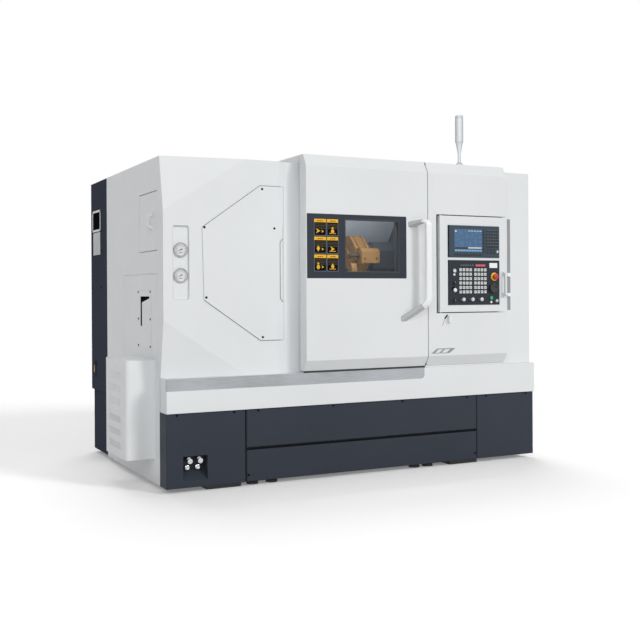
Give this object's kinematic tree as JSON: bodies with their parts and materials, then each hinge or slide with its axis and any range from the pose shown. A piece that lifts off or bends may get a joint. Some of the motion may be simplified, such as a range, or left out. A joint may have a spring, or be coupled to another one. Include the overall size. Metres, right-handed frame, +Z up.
{
  "type": "turning lathe",
  "caption": "Enclosed slant-bed turning lathe with a sliding window door, a swinging operator panel, a three-jaw chuck and a tool turret.",
  "frame": {"origin": "on the floor, at the middle of the footprint", "axes": "+X along the spindle, from the headstock to the right end; -Y is the front, where the door and the panel are; +Z up"},
  "size_m": [2.792, 1.869, 2.314],
  "materials": {
    "white_paint": "fine textured coating",
    "dark_paint": "satin coating",
    "slate_paint": "satin coating",
    "slate_plastic": "fine grain",
    "grey_paint": "satin coating",
    "brushed": "brushed along the length",
    "steel": "turned and ground",
    "casting": "painted, ways ground",
    "inner_sheet": "satin coating",
    "chrome": "polished",
    "glass": "clear laminated",
    "screen": "lit screen",
    "lamp_plastic": "clear ribbed",
    "dark_plastic": "fine grain",
    "white_plastic": "moulded",
    "red_plastic": "moulded",
    "green_plastic": "moulded",
    "tool_steel": "ground, oiled"
  },
  "bodies": {
    "machine": {"base_cover_left": "dark_paint", "base_cover_lower": "dark_paint", "base_cover_right": "dark_paint", "base_cover_upper": "dark_paint", "bed_casting": "casting", "cabinet_window": "dark_plastic", "chip_pan": "inner_sheet", "control_box": "white_paint", "cover_screws": "steel", "door_rail": "brushed", "front_panel_left": "white_paint", "gauge_plate": "white_paint", "guard_back": "inner_sheet", "guard_left": "inner_sheet", "guard_right": "inner_sheet", "headstock": "casting", "hose_fittings": "dark_plastic", "lamp_base": "grey_paint", "lamp_tube": "lamp_plastic", "levelling_pads": "steel", "pressure_gauges": "chrome", "pump_cover": "white_paint", "rear_cabinet": "white_paint", "right_enclosure": "white_paint", "roof_hood": "white_paint", "roof_panel": "white_paint", "service_cover": "white_paint", "side_panel": "white_paint", "side_plate": "white_paint", "sill": "white_paint", "spindle_motor": "dark_paint", "way_guards": "inner_sheet"},
    "door": {"door_shell": "white_paint", "window_frame": "slate_paint", "window_glass": "glass", "door_handle": "slate_paint"},
    "panel": {"panel_frame": "slate_paint", "display_unit": "slate_plastic", "display_screen": "screen", "operator_panel": "slate_plastic", "operator_keys": "white_plastic", "panel_pull": "grey_paint"},
    "hatch": {"side_hatch": "white_paint"},
    "spindle": {"spindle_shaft": "steel", "chuck_body": "steel"},
    "jaw_one": {"chuck_jaw_1": "steel"},
    "jaw_two": {"chuck_jaw_2": "steel"},
    "jaw_three": {"chuck_jaw_3": "steel"},
    "saddle": {"carriage": "casting"},
    "slide": {"cross_slide": "casting"},
    "turret": {"turret_disc": "tool_steel", "tool_holders": "tool_steel", "tool_bars": "tool_steel"},
    "stop": {"estop_button": "red_plastic"},
    "dial": {"pulse_dial": "dark_plastic"},
    "start": {"start_button": "green_plastic"},
    "power": {"power_button": "white_plastic"},
    "knob_high": {"selector_upper": "dark_plastic"},
    "knob_low": {"selector_lower": "dark_plastic"},
    "key": {"key_switch": "chrome"}
  },
  "joints": [
    {"name": "door_slide", "type": "slide", "parent": "machine", "child": "door", "axis": [-1, 0, 0], "range_m": [0, 0.7]},
    {"name": "panel_swing", "type": "hinge", "parent": "machine", "child": "panel", "pos_m": [0.612, -0.8305, 1.32], "axis": [0, 0, -1], "range_deg": [0, 90]},
    {"name": "hatch_swing", "type": "hinge", "parent": "machine", "child": "hatch", "pos_m": [-1.215, -0.2895, 1.56], "axis": [0, 0, -1], "range_deg": [0, 100]},
    {"name": "spindle_turn", "type": "hinge", "parent": "machine", "child": "spindle", "pos_m": [-0.161, -0.3825, 1.178], "axis": [1, 0, 0], "continuous": true},
    {"name": "jaw_one_slide", "type": "slide", "parent": "spindle", "child": "jaw_one", "axis": [0, 0, 1], "range_m": [-0.004, 0.008]},
    {"name": "jaw_two_slide", "type": "slide", "parent": "spindle", "child": "jaw_two", "axis": [0, -0.866, -0.5], "range_m": [-0.004, 0.008]},
    {"name": "jaw_three_slide", "type": "slide", "parent": "spindle", "child": "jaw_three", "axis": [0, 0.866, -0.5], "range_m": [-0.004, 0.008]},
    {"name": "saddle_slide", "type": "slide", "parent": "machine", "child": "saddle", "axis": [-1, 0, 0], "range_m": [0, 0.25]},
    {"name": "cross_slide_in", "type": "slide", "parent": "saddle", "child": "slide", "axis": [0, -0.7071, -0.7071], "range_m": [0, 0.11]},
    {"name": "turret_turn", "type": "hinge", "parent": "slide", "child": "turret", "pos_m": [0.324, -0.17249, 1.38801], "axis": [1, 0, 0], "continuous": true},
    {"name": "stop_push", "type": "slide", "parent": "panel", "child": "stop", "axis": [0, 1, 0], "range_m": [0, 0.004], "stiffness_N_per_m": 200},
    {"name": "start_push", "type": "slide", "parent": "panel", "child": "start", "axis": [0, 1, 0], "range_m": [0, 0.004], "stiffness_N_per_m": 200},
    {"name": "power_push", "type": "slide", "parent": "panel", "child": "power", "axis": [0, 1, 0], "range_m": [0, 0.004], "stiffness_N_per_m": 200},
    {"name": "dial_turn", "type": "hinge", "parent": "panel", "child": "dial", "pos_m": [1.018, -0.8455, 1.162], "axis": [0, 1, 0], "continuous": true},
    {"name": "knob_high_turn", "type": "hinge", "parent": "panel", "child": "knob_high", "pos_m": [0.709, -0.8455, 1.197], "axis": [0, 1, 0], "range_deg": [0, 90]},
    {"name": "knob_low_turn", "type": "hinge", "parent": "panel", "child": "knob_low", "pos_m": [0.709, -0.8455, 1.08], "axis": [0, 1, 0], "range_deg": [0, 90]},
    {"name": "key_turn", "type": "hinge", "parent": "panel", "child": "key", "pos_m": [1.051, -0.8455, 1.078], "axis": [0, 1, 0], "range_deg": [0, 90]}
  ],
  "couplings": [
    {"joint": "jaw_two_slide", "follows": "jaw_one_slide", "ratio": 1},
    {"joint": "jaw_three_slide", "follows": "jaw_one_slide", "ratio": 1}
  ]
}
